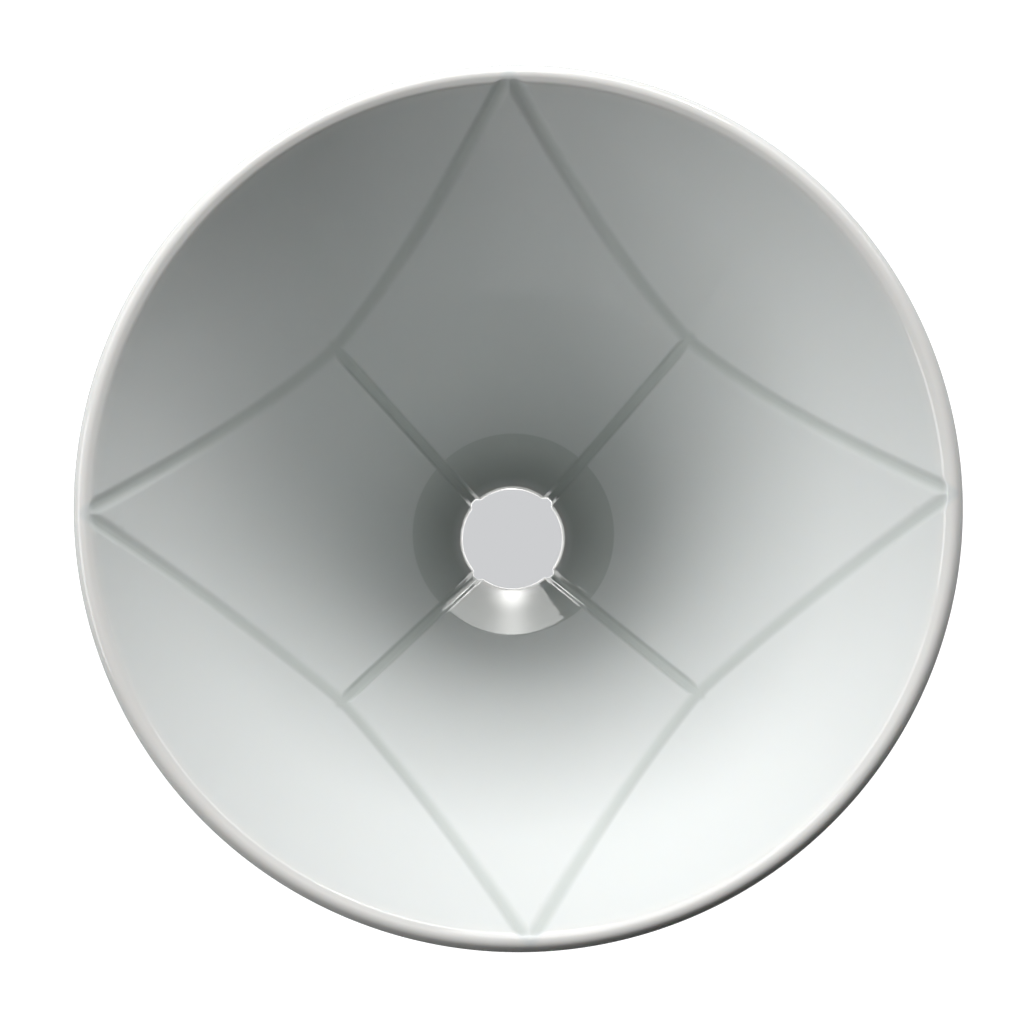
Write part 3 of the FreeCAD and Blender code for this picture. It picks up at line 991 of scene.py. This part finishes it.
@dataclass
class GripPads:
    """The silicone pads under the plate: discs with two fine grip grooves in their underside."""

    count: int = 3
    round_edge: float = 0.5
    groove_radii: tuple[float, ...] = (2.0, 3.6)
    groove_half: float = 0.35
    groove_depth: float = 0.25
    steps: int = 72

    def outline(self, radius: float, bottom: float, top: float) -> list[Corner]:
        """Return a pad's outline, from its top's centre round to its underside's.

        Args:
            radius: the pad's radius.
            bottom: height of its underside.
            top: height of its top.

        Returns:
            The corners.
        """
        corners = [Corner(0.0, top), Corner(radius, top, 0.1), Corner(radius, bottom,
                                                                      self.round_edge)]
        for groove in reversed(self.groove_radii):
            corners += [
                Corner(groove + self.groove_half, bottom, 0.1),
                Corner(groove, bottom + self.groove_depth, 0.1),
                Corner(groove - self.groove_half, bottom, 0.1),
            ]
        return corners + [Corner(0.0, bottom)]

    def build(self, silicone: bpy.types.Material) -> list[bpy.types.Object]:
        """Build and dress the pads, each in the place of its CAD node."""
        pads = []
        for number in range(1, self.count + 1):
            node = f"grip_pad_{number}"
            low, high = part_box(node)
            centre = (low + high) / 2
            radius = (high.x - low.x) / (2 * MM)
            shape = Lathe(self.steps, round_segments=3).turn(
                self.outline(radius, low.z / MM, high.z / MM), closed=False)
            bmesh.ops.translate(shape, verts=shape.verts[:], vec=(centre.x, centre.y, 0.0))
            pads.append(finish_piece(shape, f"silicone_pad_{number}", [silicone], Body.BASE,
                                     [node]))
        return pads


# ---------------------------------------------------------------------------------------------
# Studio
# ---------------------------------------------------------------------------------------------

@dataclass(frozen=True)
class SoftBox:
    """A rectangular soft light that faces the cone's mouth.

    bearing is in degrees from +Y towards +X, elevation in degrees above level, distance and
    sides in millimetres, and radiance is how bright its face looks.
    """

    name: str
    bearing: float
    elevation: float
    radiance: float
    distance: float = 800.0
    width: float = 450.0
    height: float = 400.0

    def place(self, target: Vector) -> None:
        """Put the light in the scene, facing a target in metres."""
        light = bpy.data.lights.new(self.name, "AREA")
        light.shape = "RECTANGLE"
        light.size, light.size_y = self.width * MM, self.height * MM
        light.energy = self.radiance * math.pi * light.size * light.size_y
        bearing, elevation = math.radians(self.bearing), math.radians(self.elevation)
        back = Vector((math.sin(bearing) * math.cos(elevation),
                       math.cos(bearing) * math.cos(elevation), math.sin(elevation)))
        lamp = bpy.data.objects.new(self.name, light)
        lamp.matrix_world = Matrix.Translation(target + back * self.distance * MM) @ (
            -back).to_track_quat("-Z", "Y").to_matrix().to_4x4()
        bpy.context.scene.collection.objects.link(lamp)


@dataclass(frozen=True)
class UnderDisc:
    """A dark disc with a painted bright patch under the outlet, which only the cone's gloss mirrors
    as a painted reflection.

    Radii in millimetres, and bearings in degrees from +Y towards +X.
    """

    radius: float = 29.3
    height: float = 1.2
    rim_radius: float = 12.5
    rim_glow: float = 2.4
    patch: tuple[float, float] = (-25.0, 42.0)
    patch_glow: float = 2.5
    strip: tuple[float, float] = (-45.0, -41.0)
    strip_glow: float = 2.4
    streak_bearing: float = 3.0
    streak_spread: float = 10.0
    streak_glow: float = 2.6
    spot_radius: float = 13.5
    spot_spread: float = 15.0
    spot_reach: float = 3.5
    spot_glow: float = 6.0
    rings: int = 44
    turns: int = 360
    colour: str = "#FFFEFC"

    def glow_at(self, radius: np.ndarray, bearing: np.ndarray) -> np.ndarray:
        """Return how bright the disc is at places on it."""
        # Painted reflection: the patch, strip, streak and spot are highlights for the outlet's
        # glaze.
        patch = (bearing > self.patch[0]) & (bearing < self.patch[1])
        strip = (bearing > self.strip[0]) & (bearing < self.strip[1])
        off = bearing - self.streak_bearing
        streak = self.streak_glow * np.exp(-(off / self.streak_spread) ** 2)
        spot = self.spot_glow * np.exp(-(off / self.spot_spread) ** 2
                                       - ((radius - self.spot_radius) / self.spot_reach) ** 2)
        lit = np.where(patch, self.patch_glow + streak + spot, strip * self.strip_glow)
        return np.where(radius < self.rim_radius, np.maximum(self.rim_glow, lit), lit)

    def shape(self) -> bmesh.types.BMesh:
        """Return the disc's mesh, open in the very middle."""
        shape = bmesh.new()
        step = self.radius / self.rings
        row = [shape.verts.new(((index + 1) * step * MM, 0.0, self.height * MM))
               for index in range(self.rings)]
        edges = [shape.edges.new(pair) for pair in zip(row, row[1:])]
        bmesh.ops.spin(shape, geom=row + edges, cent=(0, 0, 0), axis=(0, 0, 1), dvec=(0, 0, 0),
                       angle=2 * math.pi, steps=self.turns, use_merge=True, use_duplicate=False)
        return shape

    def paint(self, mesh: bpy.types.Mesh) -> None:
        """Store the disc's glow on its points."""
        points = np.array([vert.co for vert in mesh.vertices]) / MM
        glow = self.glow_at(np.hypot(*points.T[:2]), np.degrees(np.arctan2(*points.T[:2])))
        mesh.attributes.new(GLOW_ATTRIBUTE, "FLOAT", "POINT").data.foreach_set(
            "value", glow.astype(np.float32))


@dataclass
class Studio:
    """Plain paper, soft lights and the overhead camera, whose place is given above the lip."""

    floor_side: float = 6000.0
    dome_radius: float = 2800.0
    seen_height: float = -0.2
    bounce_height: float = -0.1
    patch_radius: float = 29.0
    patch_height: float = 0.05
    paper_glow: float = 1.2
    lens: float = 95.1
    camera_place: tuple[float, float, float] = (-5.14, -23.94, 350.6)
    camera_aim: tuple[float, float, float] = (-0.96, -1.11, 0.0)
    camera_roll: float = 1.37
    bounce_colour: str = "#BFC1C0"
    # The grey of the sheet under the outlet is painted shade: the floor in the base's shade.
    floor_shade_colour: str = "#CDCED0"

    def lights(self) -> list[SoftBox]:
        """Return the soft lights: a row round the back, from the left to the right."""
        return [
            SoftBox("left_softbox", -90.0, 25.0, 3.9),
            SoftBox("back_left_softbox", -50.0, 25.0, 2.2),
            SoftBox("high_back_softbox", -15.0, 45.0, 4.6),
            SoftBox("back_softbox", 10.0, 25.0, 4.9),
            SoftBox("back_right_softbox", 40.0, 25.0, 2.7),
        ]

    def sheet(self, name: str, side: float, height: float, material: bpy.types.Material,
              rays: set[str]) -> None:
        """Lay a square of paper that only some rays see.

        Args:
            name: the sheet's name.
            side: its side.
            height: its height.
            material: its finish.
            rays: which of camera, diffuse, glossy, transmission and shadow rays meet it.
        """
        shape = bmesh.new()
        bmesh.ops.create_grid(shape, x_segments=1, y_segments=1, size=side / 2 * MM,
                              matrix=Matrix.Translation((0.0, 0.0, height * MM)))
        self.prop(name, shape, material, rays)

    def prop(self, name: str, shape: bmesh.types.BMesh, material: bpy.types.Material,
             rays: set[str]) -> bpy.types.Object:
        """Make a studio prop from a mesh, seen only by some rays.

        Args:
            name: the prop's name.
            shape: its mesh; it is freed.
            material: its finish.
            rays: which of camera, diffuse, glossy, transmission and shadow rays meet it.

        Returns:
            The prop.
        """
        mesh = bpy.data.meshes.new(name)
        shape.to_mesh(mesh)
        shape.free()
        mesh.materials.append(material)
        prop = bpy.data.objects.new(name, mesh)
        bpy.context.scene.collection.objects.link(prop)
        prop.visible_camera = "camera" in rays
        prop.visible_diffuse = "diffuse" in rays
        prop.visible_glossy = "glossy" in rays
        prop.visible_transmission = "transmission" in rays
        prop.visible_shadow = "shadow" in rays
        return prop

    def build_paper(self) -> None:
        """Lay the white paper that is seen and the greyer one that reflects light upwards."""
        seen = StudioPaper("white_paper", "#000000", glow=self.paper_glow).make()
        bounce = StudioPaper("bounce_paper", self.bounce_colour).make()
        backdrop = StudioPaper("backdrop_paper", "#000000", glow=self.paper_glow).make()
        self.sheet("paper_seen", self.floor_side, self.seen_height, seen, {"camera"})
        self.sheet("paper_bounce", self.floor_side, self.bounce_height, bounce,
                   {"diffuse", "glossy", "transmission"})
        dome = bmesh.new()
        bmesh.ops.create_uvsphere(dome, u_segments=48, v_segments=24,
                                  radius=self.dome_radius * MM)
        self.prop("backdrop", dome, backdrop, {"camera"})

    def build_under_glow(self) -> None:
        """Lay a grey sheet of painted shade seen through the outlet, and a card of painted
        reflections that only the gloss mirrors.
        """
        patch = bmesh.new()
        bmesh.ops.create_circle(patch, cap_ends=True, segments=96, radius=self.patch_radius * MM,
                                matrix=Matrix.Translation((0.0, 0.0, self.patch_height * MM)))
        # Painted shade: a grey sheet, seen only by the camera, for the shaded floor under the
        # outlet.
        self.prop("floor_shade_seen", patch, StudioPaper(
            "floor_shade_paper", "#000000", self.floor_shade_colour, 1.0).make(), {"camera"})
        disc = UnderDisc()
        prop = self.prop("under_disc", disc.shape(), GlowCard("disc_card", disc.colour).make(),
                         {"glossy"})
        disc.paint(prop.data)

    def build_world(self) -> None:
        """Keep the room dark, so that light comes from the soft boxes and the card alone."""
        world = bpy.data.worlds.new("studio_fill")
        world.use_nodes = True
        world.node_tree.nodes["Background"].inputs["Strength"].default_value = 0.0
        bpy.context.scene.world = world

    def build_camera(self, lip_height: float) -> None:
        """Hang the camera over the cone.

        Args:
            lip_height: height of the lip, in metres.
        """
        place, aim = Vector(self.camera_place) * MM, Vector(self.camera_aim) * MM
        roll = math.radians(self.camera_roll)
        forward = (aim - place).normalized()
        right = forward.cross(Vector((math.sin(roll), math.cos(roll), 0.0))).normalized()
        turn = Matrix((right, right.cross(forward), -forward)).transposed().to_4x4()
        data = bpy.data.cameras.new("overhead_camera")
        data.lens = self.lens
        camera = bpy.data.objects.new("overhead_camera", data)
        camera.matrix_world = Matrix.Translation(place + Vector((0.0, 0.0, lip_height))) @ turn
        bpy.context.scene.collection.objects.link(camera)
        bpy.context.scene.camera = camera

    def build(self, lip_height: float) -> None:
        """Set up the whole studio around a cone whose lip is at a height in metres."""
        self.build_paper()
        self.build_under_glow()
        self.build_world()
        for box in self.lights():
            box.place(Vector((0.0, 0.0, lip_height)))
        self.build_camera(lip_height)
        bpy.context.scene.view_settings.view_transform = "Standard"


# ---------------------------------------------------------------------------------------------
# The dripper
# ---------------------------------------------------------------------------------------------

def report(piece: bpy.types.Object) -> None:
    """Log a finished piece's name and its count of triangles."""
    piece.data.calc_loop_triangles()
    LOG.info("%s: %d triangles", piece.name, len(piece.data.loop_triangles))


def main() -> None:
    """Build the dripper's pieces in the order a potter would assemble them, then the studio."""
    logging.basicConfig(level=logging.INFO, format="%(message)s")
    glaze = GlazedPorcelain().make()
    biscuit = BiscuitPorcelain().make()
    silicone = MouldedSilicone().make()
    report(PorcelainBase().build(glaze, biscuit))
    for pad in GripPads().build(silicone):
        report(pad)
    report(SeatGasket().build(silicone))
    report(PorcelainCone().build(glaze, biscuit))
    Studio().build(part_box("cone_body")[1].z)


if __name__ == "__main__":
    main()
